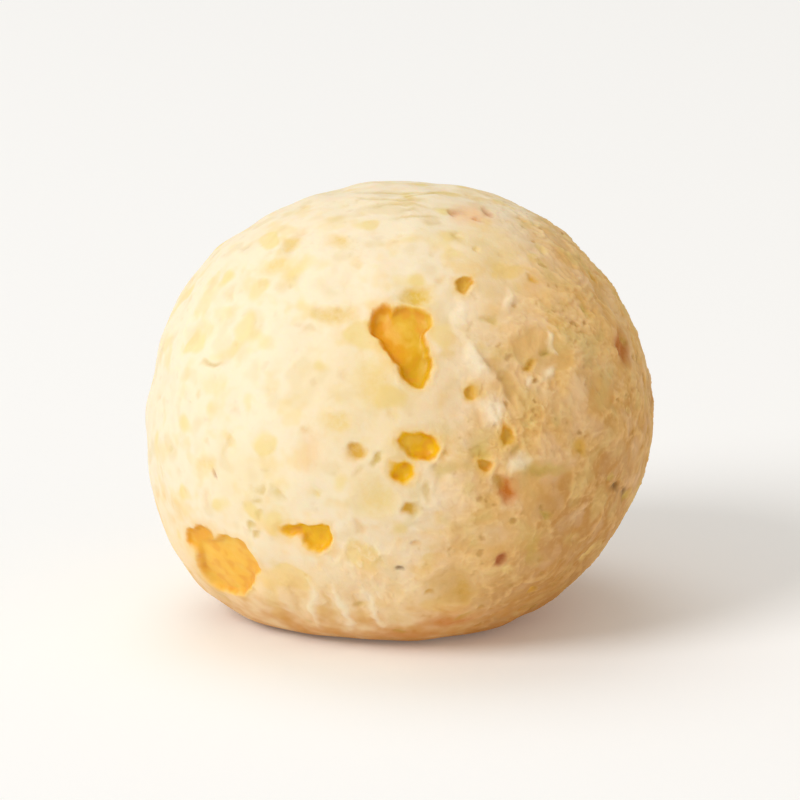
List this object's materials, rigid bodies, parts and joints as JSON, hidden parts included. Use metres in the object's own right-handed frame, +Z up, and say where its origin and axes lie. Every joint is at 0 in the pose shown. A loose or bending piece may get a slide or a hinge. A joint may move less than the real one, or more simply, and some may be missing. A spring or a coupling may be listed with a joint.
{
  "type": "pao de queijo cheese ball",
  "caption": "Pao de queijo, a round baked cheese bread ball with a pale golden crust, burst bubbles, fine wrinkles and a small flat base it stands on.",
  "frame": {"origin": "on the flat base that the ball stands on, straight below the middle of the ball's width and length", "axes": "+Z up from the base through the crown; -Y towards the front, the side with the large torn bubble; +X to the right as seen from the front"},
  "size_m": [0.0524, 0.0508, 0.0445],
  "materials": {
    "crust": "matte baked crust, pale creamy gold, with deep yellow open bubbles and a few browned spots"
  },
  "bodies": {
    "root": {"cheese_ball": "crust"}
  },
  "joints": []
}
